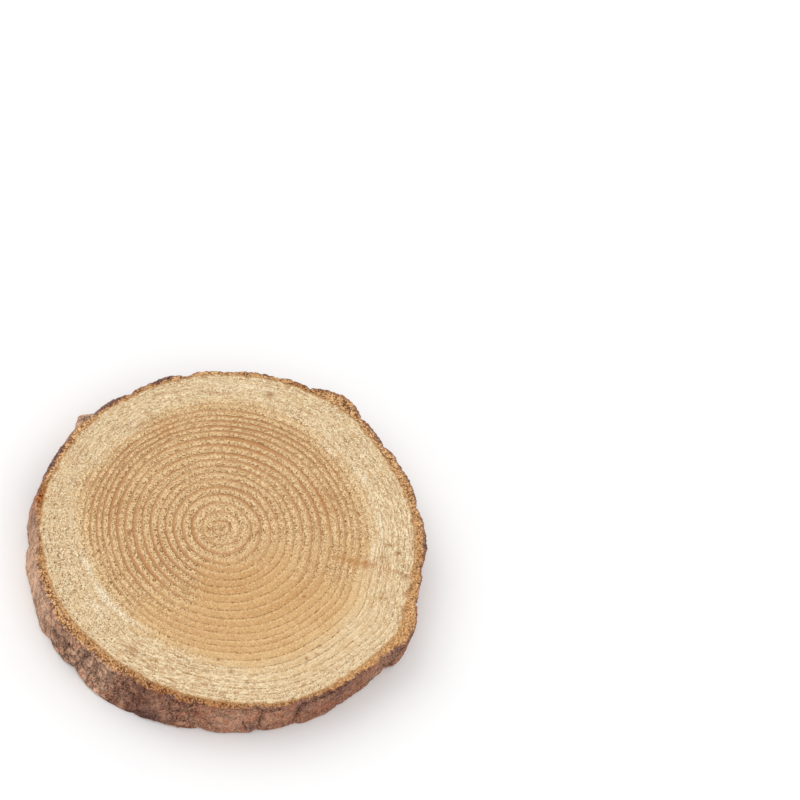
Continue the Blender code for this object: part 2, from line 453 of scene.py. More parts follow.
# Small swellings on the sides of the nub's tip, and how far down they reach.
NUB_LOBES = (
    (150.6, 1.3, 0.9),
    (153.0, 0.9, -0.35),
    (155.6, 1.0, 0.3),
)
NUB_REACH = 4.0
# Small swellings over the whole height of the bark.
SMALL_LOBES = (
    (351.5, 1.8, 0.6),
    (348.0, 2.5, 0.3),
)
# Where the sawn rim of the bark is a dark rust: angle, half width, strength.
RUST_LOBES = (
    (185.5, 5, 1.0),
    (205, 12, 0.25),
    (240, 12, 0.25),
    (266, 12, 0.6),
    (284, 9, 0.5),
    (304, 12, 0.4),
    (77, 4, 0.6),
    (132, 12, 0.3),
)
# Where the sawn rim is smoother: angle, half width, strength.
SMOOTH_RIM = (
    (326, 24, 0.9),
    (16, 22, 0.4),
    (192, 12, 0.3),
)
# Where the purple skin of the bark shows along the outer edge of its sawn rim.
LIP_LOBES = (
    (122, 4, 0.8),
    (143, 6, 0.9),
    (152, 3, 1.0),
    (170, 6, 0.6),
    (195, 5, 0.45),
    (11, 4, 0.4),
    (50, 8, 0.3),
    (297, 6, 0.4),
    (312, 4, 0.4),
    (322, 5, 0.35),
    (337, 3, 0.5),
    (268, 2, 0.5),
    (214, 6, 0.2),
)


def turned(angle, centre):
    """How far each angle lies from a centre one, between -180 and 180 degrees."""
    return (angle - centre + 180.0) % 360.0 - 180.0


def bell(away, half_width):
    """1 in the middle, falling smoothly to 0 on both sides of it."""
    return np.exp(-((away / half_width) ** 2))


def bump(angle, centre, half_width):
    return bell(turned(angle, centre), half_width)


def lobes(angle, features):
    """What all the swellings and hollows of one list add up to at each angle."""
    return sum(height * bump(angle, centre, width) for centre, width, height in features)


def from_pith(angle, radius):
    """Places this far from the pith at each angle."""
    return radius * np.cos(np.radians(angle)), radius * np.sin(np.radians(angle))


def smooth_step(value, low, high):
    """0 up to the low value, 1 from the high one, and an even curve between them."""
    share = np.clip((value - low) / (high - low), 0.0, 1.0)
    return share * share * (3.0 - 2.0 * share)


def ripple(x, y, z, size):
    """Smooth random values between -1 and 1, with bumps about as broad as the size.

    Where z is one number, it only picks the pattern, which is then the same at every height.
    """
    x, y, z = np.broadcast_arrays(x / size, y / size, z / size)
    values = [noise.noise(place) for place in zip(x.flat, y.flat, z.flat)]
    return np.array(values).reshape(x.shape)


def trunk_radius(angle):
    """From the pith out to the middle of the bark's surface."""
    lopsided = LOPSIDED * np.cos(np.radians(angle - LOPSIDED_TOWARDS))
    return TRUNK_RADIUS + lopsided + lobes(angle, TRUNK_LOBES)


def wood_radius(angle):
    return trunk_radius(angle) - BARK_THICKNESS - lobes(angle, BARK_LOBES)


def year_ends():
    """The share of the way from pith to bark at which each year's ring ends."""
    widths = []
    for year in range(1, YEARS + 1):
        gain = GOOD_YEARS_GAIN * math.sin(math.tau * (year - 1) / GOOD_YEARS_APART)
        widths.append(1.0 - OUTER_YEARS_SHRINK * year / YEARS + gain)
    return np.array([sum(widths[:year]) / sum(widths) for year in range(YEARS + 1)])


def ring_radius(angle, share):
    """Rings are round near the pith and take on the trunk's outline near the bark."""
    outline = share * wood_radius(angle) + (1.0 - share) * TRUNK_RADIUS
    wobble = ripple(*from_pith(angle, WOBBLE_SIZE), YEARS * share / WOBBLE_SIZE, 1.0)
    return share * outline + RING_WOBBLE * wobble * 4.0 * share * (1.0 - share)


def plate_relief(angle, height):
    """Arched plates of bark, each a little higher or lower than the next, with furrows between."""
    low, high, depth = (np.array(column, float)[:, None, None] for column in zip(*FURROWS))
    places = low + (high - low) * height / THICKNESS
    places = np.broadcast_to(places, (len(FURROWS), *np.broadcast(angle, height).shape))
    plate = (np.sum(places <= angle % 360.0, axis=0) - 1) % len(FURROWS)
    start = np.take_along_axis(places, plate[None], axis=0)[0]
    end = np.take_along_axis(places, (plate[None] + 1) % len(FURROWS), axis=0)[0]
    share = ((angle - start) % 360.0) / ((end - start) % 360.0)
    lift = PLATE_LIFT * np.sin(PLATE_LIFT_RATE * plate)
    crown = PLATE_CROWN * 4.0 * share * (1.0 - share)
    furrow = np.sum(depth * bump(angle, places, math.degrees(FURROW_WIDTH / TRUNK_RADIUS)), axis=0)
    return lift + crown - furrow


def bark_relief(angle, height):
    """How far the bark's surface stands out of the trunk's smooth outline."""
    wave = WAVE_HEIGHT * ripple(*from_pith(angle, TRUNK_RADIUS), height, WAVE_LENGTH)
    curl_angle, curl_width, curl_height, curl_reach = BARK_CURL
    curl = curl_height * bump(angle, curl_angle, curl_width) * bell(THICKNESS - height, curl_reach)
    spread = lobes(angle, BASE_LOBES) * (1.0 - height / THICKNESS)
    return plate_relief(angle, height) + wave + curl + spread


def outer_radius(angle, height):
    smooth = trunk_radius(angle) + bark_relief(angle, height)
    return np.maximum(smooth, wood_radius(angle) + THINNEST_BARK)


def crumble(angle, pattern):
    """How far the sawn rim of the bark has crumbled away or stands up."""
    return RIM_CRUMBLE * ripple(*from_pith(angle, TRUNK_RADIUS), pattern, CRUMB_LENGTH)


def points(angle, radius, height):
    """Places in millimetres from angles and distances round the pith, which leans with the trunk."""
    lean = 1.0 - height / THICKNESS
    out_x, out_y = from_pith(angle, radius)
    x = PITH[0] + SAW_LEAN[0] * lean + out_x
    y = PITH[1] + SAW_LEAN[1] * lean + out_y
    return np.stack(np.broadcast_arrays(x, y, height), axis=-1)


def spots(angle, level, radius, places):
    """The strongest of some oval spots, each fading from its middle.

    The level is the distance from the pith on a saw cut, and the height on the side of the bark.
    """
    strongest = np.zeros(np.broadcast(angle, level).shape)
    for centre, centre_level, half_round, half_level, strength in places:
        around = np.radians(turned(angle, centre)) * radius
        shape = bell(around, half_round) * bell(level - centre_level, half_level)
        strongest = np.maximum(strongest, strength * shape)
    return strongest


def make_piece(name, places, faces, values, material):
    """One smooth shaded mesh piece with its named values, riding on the slice's body."""
    data = bpy.data.meshes.new(name)
    places = np.clip(places * MM, cad_box[0], cad_box[1])
    data.from_pydata(places.tolist(), [], faces)
    data.validate()
    for value_name, value in values.items():
        layer = data.attributes.new(value_name, "FLOAT", "POINT")
        layer.data.foreach_set("value", np.ascontiguousarray(value, np.float32))
    data.shade_smooth()
    data.materials.append(material)
    piece = bpy.data.objects.new(name, data)
    bpy.context.scene.collection.objects.link(piece)
    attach(piece, BODY)
    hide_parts(NODE)


# The saw cuts
def disc_grid(rows):
    """A square grid bent into a disc: for each point, its row out from the middle and its angle."""
    steps = np.arange(-rows, rows + 1)
    across, along = np.meshgrid(steps, steps, indexing="ij")
    row = np.maximum(abs(across), abs(along))
    sideways = abs(across) >= abs(along)
    safe_across = np.where(sideways & (row > 0), across, 1)
    safe_along = np.where(sideways, 1, along)
    angle_a = np.where(across < 0, 180.0, 0.0) + 45.0 * along / safe_across
    angle_b = np.where(along < 0, 270.0, 90.0) - 45.0 * across / safe_along
    angle = np.where(sideways, angle_a, angle_b) % 360.0
    return row.reshape(-1), angle.reshape(-1)


def grid_faces(side):
    index = np.arange(side * side).reshape(side, side)
    corners = index[:-1, :-1], index[1:, :-1], index[1:, 1:], index[:-1, 1:]
    return np.stack(corners, axis=-1).reshape(-1, 4)


def grid_border(side):
    """The points on the edge of the grid, in the order of their angles."""
    index = np.arange(side * side).reshape(side, side)
    return np.concatenate((index[-1, :-1], index[:0:-1, -1], index[0, :0:-1], index[:-1, 0]))


def cut_looks(angle, share, radius):
    """Values that the wood's material reads: how clean the cut is, heartwood, summer wood, stains."""
    patchy = ripple(*from_pith(angle, radius), 0.0, PATCH_SIZE)
    middle, half_width, inner = CLEAN_SECTOR
    away = abs(turned(angle, middle)) + PATCH_TURN * patchy
    clean = 1.0 - smooth_step(away, half_width - 26.0, half_width + 20.0)
    clean = clean * smooth_step(radius + PATCH_OUT * patchy, inner - 4.0, inner + 12.0)
    uneven_share = share + PATCH_SHARE * patchy
    edge = HEART_SHARE + lobes(angle, HEART_LOBES)
    outer_wood = smooth_step(uneven_share, edge - 0.05, edge + 0.06)
    front, front_width, front_torn = TORN_SAPWOOD
    clean = clean * (1.0 - front_torn * bump(angle, front, front_width) * outer_wood)
    torn_from, torn_to, edge_torn = TORN_EDGE
    clean = clean * (1.0 - edge_torn * smooth_step(share, torn_from, torn_to))
    summer = np.zeros_like(angle)
    for centre, width, share_centre, share_width, strength in BROAD_SUMMER_WOOD:
        local = bump(angle, centre, width) * bell(share - share_centre, share_width)
        summer = np.maximum(summer, strength * local)
    return {
        "clean": clean,
        "heart": 1.0 - smooth_step(uneven_share, edge - 0.07, edge + 0.05),
        "summer": summer,
        "streaky": np.minimum(lobes(angle, STREAKY_SAPWOOD), 1.0) * outer_wood,
        "stain": spots(angle, radius, radius, RESIN_SPOTS),
        "knot": spots(angle, radius, radius, KNOT),
        "brown": spots(angle, radius, radius, BROWN_TEARS),
        "white": spots(angle, radius, radius, WHITE_TEARS),
    }


def cut_relief(grown, clean, radius, angle, random):
    """How deep the saw tore each point of a cut. grown is the share of the year's growth there."""
    before = grown / TORN_GROOVE_AT
    after = (1.0 - grown) / (1.0 - TORN_GROOVE_AT)
    torn = TORN_GROOVE * np.minimum(before, after) * (1.0 - 0.8 * clean)
    x, y = from_pith(angle, radius)
    dots = smooth_step(ripple(x, y, radius, GROOVE_DOT_SIZE), -0.15, 0.25)
    line = CLEAN_GROOVE * bell(grown - CLEAN_GROOVE_AT, CLEAN_GROOVE_WIDTH)
    dotted = line * dots * (0.25 + 0.75 * clean)
    rough = 1.0 - 0.65 * clean
    tear = SAW_TEAR * abs(ripple(x, y, 0.0, SAW_TEAR_SIZE)) * rough
    grain = SAW_GRAIN * abs(random.normal(size=x.shape)) * rough
    return torn + dotted + tear + grain


def make_half(name, upper, row_shares, material):
    """One half of the wood, from its saw cut to the middle of the slice's thickness."""
    random = np.random.default_rng(SEED + int(upper))
    rows = len(row_shares) * YEARS
    row, angle = disc_grid(rows)
    ends = year_ends()
    year, row_of_year = np.divmod(np.maximum(row, 1) - 1, len(row_shares))
    grown = np.where(row == 0, 0.0, np.array(row_shares)[row_of_year])
    share = ends[year] + grown * (ends[year + 1] - ends[year])
    radius = ring_radius(angle, share)
    looks = cut_looks(angle, share, radius)
    if not upper:
        looks["clean"] = LOWER_CUT_CLEAN * looks["clean"]
    depth = cut_relief(grown, looks["clean"], radius, angle, random)
    cut = points(angle, radius, THICKNESS if upper else 0.0)
    cut[:, 2] = THICKNESS - depth if upper else depth
    faces = grid_faces(2 * rows + 1)
    border = grid_border(2 * rows + 1)
    skirt = points(angle[border], wood_radius(angle[border]), THICKNESS / 2.0)
    centre = points(np.zeros(1), 0.0, THICKNESS / 2.0)
    places = np.concatenate((cut, skirt, centre))
    ring = len(cut) + np.arange(len(border))
    sides = np.stack((border, ring, np.roll(ring, -1), np.roll(border, -1)), axis=-1)
    hub = np.full(len(border), len(places) - 1)
    cap = np.stack((ring, hub, np.roll(ring, -1)), axis=-1)
    if not upper:
        faces, sides, cap = faces[:, ::-1], sides[:, ::-1], cap[:, ::-1]
    hidden = np.zeros(len(places) - len(cut))
    values = {"ring": year + grown, "share": share, **looks}
    values = {key: np.concatenate((value, hidden)) for key, value in values.items()}
    faces = [*faces.tolist(), *sides.tolist(), *cap.tolist()]
    make_piece(name, places, faces, values, material)


# The bark
def rift_cuts(angle, height):
    """Depth of the narrow cracks, and how far the bark lifts along one side of each."""
    around = TRUNK_RADIUS * np.radians(angle)
    depth = np.zeros_like(around)
    lift = np.zeros_like(around)
    for width, rift in RIFTS:
        for (start_angle, start_height), (end_angle, end_height) in zip(rift, rift[1:]):
            start = TRUNK_RADIUS * math.radians(start_angle)
            run = TRUNK_RADIUS * math.radians(end_angle) - start
            rise = end_height - start_height
            share = ((around - start) * run + (height - start_height) * rise) / (run**2 + rise**2)
            share = np.clip(share, 0.0, 1.0)
            away_x = around - start - share * run
            away_z = height - start_height - share * rise
            away = np.hypot(away_x, away_z)
            depth = np.maximum(depth, bell(away, width))
            one_side = run * away_z - rise * away_x > 0.0
            lift = np.maximum(lift, one_side * np.exp(-away / RIFT_LIFT_REACH))
    return depth, lift


def bark_scales(x, y, height):
    """Small scales, taller than wide: how far each point is from a gap, and how high its scale lies."""
    x = x + SCALE_WARP * ripple(x, y, height, 2.6)
    height = height + SCALE_WARP * ripple(x, y, height + 40.0, 3.4)
    cells = np.stack((x, y, height), axis=-1).reshape(-1, 3) / SCALE_SIZE
    gaps = []
    lifts = []
    for cell in cells.tolist():
        distances, centres = noise.voronoi(cell)
        gaps.append(distances[1] - distances[0])
        lifts.append(math.sin(sum(rate * part for rate, part in zip(SCALE_LIFT_RATES, centres[0]))))
    return np.array(gaps).reshape(x.shape), np.array(lifts).reshape(x.shape)


def edge_teeth(angle):
    """How far the crumbly upper edge of the bark stands out or falls in at each angle."""
    x, y = from_pith(angle, TRUNK_RADIUS)
    return TOOTH_HEIGHT * (ripple(x, y, 21.0, 0.8) + ripple(x, y, 4.0, 2.2) - 0.3)


def small_swellings(angle, below_edge):
    """Swellings of the bark that are finer than its plates."""
    return lobes(angle, SMALL_LOBES) + lobes(angle, NUB_LOBES) * np.exp(-below_edge / NUB_REACH)


def bark_wall(angle, edge_height, random):
    """The bark's outer side, from its upper edge down to the lower cut."""
    teeth = edge_teeth(angle)
    down = (np.arange(1, WALL_ROWS) / WALL_ROWS)[:, None]
    height = edge_height * (1.0 - down)
    angle = np.broadcast_to(angle, height.shape)
    x, y = from_pith(angle, TRUNK_RADIUS)
    fibre = ripple(x, y, height / FIBRE_DRAWN_OUT, FIBRE_SIZE)
    lump = ripple(x, y, height, LUMP_SIZE)
    rugged = np.minimum(lobes(angle, RUGGED_LOBES), 1.0)
    scaly = smooth_step(ripple(x, y, height, SCALY_PATCH_SIZE), -0.1, 0.4)
    scaly = np.maximum(0.6 * scaly, rugged)
    gap, scale = bark_scales(x, y, height)
    groove = scaly * bell(gap, SCALE_GAP + SCALE_GAP * rugged)
    scale = scale * (0.35 + 0.65 * scaly)
    rift, lift = rift_cuts(angle + 0.5 * lump, height + 0.5 * fibre)
    fine = FIBRE_HEIGHT * (fibre - 0.5) + LUMP_HEIGHT * (1.0 + rugged) * (lump - 0.5)
    fine = fine - SCALE_GROOVE * groove + SCALE_LIFT * scale + SKIN_GRAIN * random.normal(size=x.shape)
    above_base = smooth_step(height, 0.0, 1.0)
    radius = outer_radius(angle, height) + fine * above_base + RIFT_LIFT * lift * above_base
    radius = radius + teeth * np.exp((height - edge_height) / TOOTH_REACH)
    radius = radius + small_swellings(angle, edge_height - height)
    radius = np.maximum(radius - RIFT_DEPTH * rift, wood_radius(angle) + BARK_UNDER_RIFT)
    ragged = RAGGED_EDGE * ripple(x, y, 7.0, 1.1)
    radius = radius - (BASE_EDGE_RISE + ragged) * (1.0 - smooth_step(height, 0.0, 1.1))
    # Painted shade: the cracks are darkened where the relief cuts into the bark, and so are the gaps
    # between scales in the dark value below.
    crack_shade = np.minimum(1.5 * rift, 1.1) * (0.35 + 0.65 * smooth_step(fibre + lump, -0.6, 0.3))
    stains_and_shade = spots(angle, height, TRUNK_RADIUS, DARK_PATCHES)
    values = {
        "outside": np.ones_like(radius),
        "dark": np.maximum(np.maximum(stains_and_shade, crack_shade), (0.5 + 0.3 * rugged) * groove),
        "scale": scale,
        "purple": spots(angle, height, TRUNK_RADIUS, PURPLE_PATCHES),
        "warm": spots(angle, height, TRUNK_RADIUS, WARM_PATCHES),
        "pale": spots(angle, height, TRUNK_RADIUS, PALE_PATCHES),
        "tone": lobes(angle, WALL_TONE),
        "rugged": rugged,
    }
    return radius, height, values


def sawn_rim(angle, outer, edge_height, rows, upper, random):
    """The sawn rim of the bark, from the wood out to the bark's edge, on either saw cut."""
    out = np.linspace(0.0, 1.0, rows)[:, None]
    inner = wood_radius(angle) - RIM_OVERLAP
    radius = inner + out * (outer - inner)
    angle = np.broadcast_to(angle, radius.shape)
    crumbs = 0.7 * ripple(*from_pith(angle, radius), 3.0, 0.9)
    crumbs = crumbs + 0.2 * random.normal(size=radius.shape)
    inward = np.sin(np.pi * out)
    middle = RIM_MIDDLE_DROP + abs(crumble(angle, 0.0))
    low = THICKNESS - edge_height if upper else edge_height
    drop = 0.12 + middle * inward + low * out**3
    drop = np.maximum(drop + CRUMB_HEIGHT * crumbs * (0.25 + inward), 0.02)
    height = THICKNESS - drop if upper else np.minimum(drop, 0.5) * (1.0 - out)
    lip = lobes(angle, LIP_LOBES)
    skin = 0.78 - 0.5 * np.minimum(lip, 1.0) + 0.25 * crumbs
    values = {
        "outside": np.maximum(smooth_step(out, skin, skin + 0.12), out > 0.99),
        "dark": smooth_step(-crumbs, 0.1, 0.6),
        "purple": 0.9 * smooth_step(lip, 0.1, 0.5) * (1.0 - bump(angle, PALE_NUB, 4.0)),
        "warm": np.minimum(lobes(angle, RUST_LOBES), 1.0),
        "pale": np.broadcast_to(smooth_step(out, 0.3, 0.0), radius.shape),
        "tone": lobes(angle, WALL_TONE) + 1.5 * bump(angle, PALE_NUB, 3.0),
        "rugged": 1.0 - np.minimum(lobes(angle, SMOOTH_RIM), 0.95),
        "scale": np.zeros_like(radius),
    }
    return radius, height, values


def make_bark(material):
    """A closed ring of bark: sawn rims above and below, the rough side, and a hidden inner side."""
    random = np.random.default_rng(SEED)
    angle = np.arange(BARK_STEPS) * 360.0 / BARK_STEPS
    edge_height = THICKNESS - RIM_EDGE_DROP + crumble(angle, 9.0)
    ragged = RAGGED_EDGE * ripple(*from_pith(angle, TRUNK_RADIUS), 0.0, 0.9)
    edge_height = np.minimum(edge_height + ragged, THICKNESS - 0.05)
    top_radius = outer_radius(angle[None], np.full((1, BARK_STEPS), THICKNESS))[0]
    top_radius = top_radius + edge_teeth(angle) + small_swellings(angle, 0.0)
    base_radius = outer_radius(angle[None], np.zeros((1, BARK_STEPS)))[0] - BASE_EDGE_RISE
    rim = sawn_rim(angle, top_radius, edge_height, RIM_ROWS, True, random)
    wall = bark_wall(angle, edge_height, random)
    lower = sawn_rim(angle, base_radius, np.zeros(BARK_STEPS), LOWER_RIM_ROWS, False, random)
    lower = lower[0][::-1], lower[1][::-1], {key: value[::-1] for key, value in lower[2].items()}
    hidden = np.ones((2, BARK_STEPS))
    hidden_radius = (wood_radius(angle) - HIDDEN_OVERLAP) * hidden
    hidden_height = np.array([[HIDDEN_DROP], [THICKNESS - HIDDEN_DROP]]) * hidden
    hidden_side = hidden_radius, hidden_height, {key: 0.0 * hidden for key in wall[2]}
    radii, heights, values = zip(rim, wall, lower, hidden_side)
    radius = np.concatenate(radii)
    values = {key: np.concatenate([part[key] for part in values]).reshape(-1) for key in wall[2]}
    index = np.arange(radius.size).reshape(radius.shape)
    below = np.roll(index, -1, axis=0)
    faces = np.stack((index, below, np.roll(below, -1, axis=1), np.roll(index, -1, axis=1)), axis=-1)
    places = points(angle, radius, np.concatenate(heights)).reshape(-1, 3)
    make_piece("bark", places, faces.reshape(-1, 4).tolist(), values, material)


# Materials
def light(tint):
    """A colour as a screen shows it, from 0 to 255, as the light that a material reflects."""
    shares = [part / 255.0 for part in tint]
    return [share / 12.92 if share <= 0.04045 else ((share + 0.055) / 1.055) ** 2.4 for share in shares]


class Shader:
    """One material, whose nodes are made as its values are worked out."""

    def __init__(self, name):
        self.material = bpy.data.materials.new(name)
        self.material.use_nodes = True
        self.tree = self.material.node_tree

    def read(self, node, inputs):
        """Let each input of a node read a value or hold what is given."""
        for name, source in inputs.items():
            if isinstance(source, Value):
                self.tree.links.new(source.socket, node.inputs[name])
            else:
                node.inputs[name].default_value = source

    def node(self, kind, output, inputs, **settings):
        """One output of a new node with these inputs and settings."""
        node = self.tree.nodes.new(kind)
        for name, setting in settings.items():
            setattr(node, name, setting)
        self.read(node, inputs)
        return Value(self, node.outputs[output])

    def value(self, name):
        """What the mesh holds under this name at each point."""
        return self.node("ShaderNodeAttribute", "Fac", {}, attribute_name=name)

    def place(self):
        """Object coordinates in millimetres."""
        return self.node("ShaderNodeTexCoord", "Object", {}).scaled(1.0 / MM, 1.0 / MM, 1.0 / MM)

    def math(self, operation, first, second=0.0):
        return self.node("ShaderNodeMath", "Value", {0: first, 1: second}, operation=operation)

    def layers(self, base, tints):
        """The base colour under layers, each with its share from 0 to 1 and its colour."""
        for share, tint in tints:
            base = share.mix(base, tint)
        return base

    def stretched(self, plain, detailed, factor):
        """The detailed colour, with its difference from the plain one made larger."""
        inputs = {"Factor": factor, "A": plain, "B": detailed}
        settings = {"data_type": "RGBA", "clamp_factor": False, "clamp_result": True}
        return self.node("ShaderNodeMix", "Result", inputs, **settings)

    def finish(self, inputs):
        """Set what the material's surface reads."""
        self.read(self.tree.nodes["Principled BSDF"], inputs)
        return self.material


class Value:
    """A number, colour or place that a material works out at each point."""

    def __init__(self, shader, socket):
        self.shader = shader
        self.socket = socket

    def __add__(self, other):
        return self.shader.math("ADD", self, other)

    def __sub__(self, other):
        return self.shader.math("SUBTRACT", self, other)

    def __rsub__(self, other):
        return self.shader.math("SUBTRACT", other, self)

    def __mul__(self, other):
        return self.shader.math("MULTIPLY", self, other)

    def step(self, low, high, to_low=0.0, to_high=1.0):
        """A smooth step between two values, to other values where they are given."""
        inputs = {"Value": self, "From Min": low, "From Max": high, "To Min": to_low, "To Max": to_high}
        return self.shader.node("ShaderNodeMapRange", "Result", inputs, interpolation_type="SMOOTHSTEP")

    def mix(self, first, second):
        """The first colour where this is 0 and the second where it is 1."""
        tints = [tint if isinstance(tint, Value) else (*light(tint), 1.0) for tint in (first, second)]
        inputs = {"Factor": self, "A": tints[0], "B": tints[1]}
        return self.shader.node("ShaderNodeMix", "Result", inputs, data_type="RGBA")

    def scaled(self, *factors):
        inputs = {0: self, 1: factors}
        return self.shader.node("ShaderNodeVectorMath", "Vector", inputs, operation="MULTIPLY")

    def with_height(self, height):
        """The place with its third part set."""
        parts = {axis: self.shader.node("ShaderNodeSeparateXYZ", axis, {0: self}) for axis in "XY"}
        return self.shader.node("ShaderNodeCombineXYZ", "Vector", {**parts, "Z": height})

    def noise(self, size, detail, roughness):
        """Random cloud between about 0.2 and 0.8, with lumps as large as the size."""
        inputs = {"Vector": self, "Scale": 1.0 / size, "Detail": detail, "Roughness": roughness}
        return self.shader.node("ShaderNodeTexNoise", "Fac", inputs)

    def warped(self, size, reach):
        """The place pushed about by up to half the reach, in lumps as large as the size."""
        cloud = self.shader.node("ShaderNodeTexNoise", "Color", {"Vector": self, "Scale": 1.0 / size})
        inputs = {0: cloud, 1: (reach, reach, reach), 2: self}
        return self.shader.node("ShaderNodeVectorMath", "Vector", inputs, operation="MULTIPLY_ADD")

    def dots(self, apart):
        """Small round dots, 1 in the middle of each and 0 between them."""
        inputs = {"Vector": self, "Scale": 1.0 / apart}
        return self.shader.node("ShaderNodeTexVoronoi", "Distance", inputs).step(0.36, 0.2)

    def cells(self, across):
        """Small cells, each with a random value of its own between 0 and 1."""
        inputs = {"Vector": self, "Scale": 1.0 / across}
        return self.shader.node("ShaderNodeTexVoronoi", "Color", inputs)

    def bump(self, distance):
        """The surface's direction with this value as its fine relief, in millimetres."""
        inputs = {"Height": self, "Distance": distance * MM, "Strength": 1.0}
        return self.shader.node("ShaderNodeBump", "Normal", inputs)


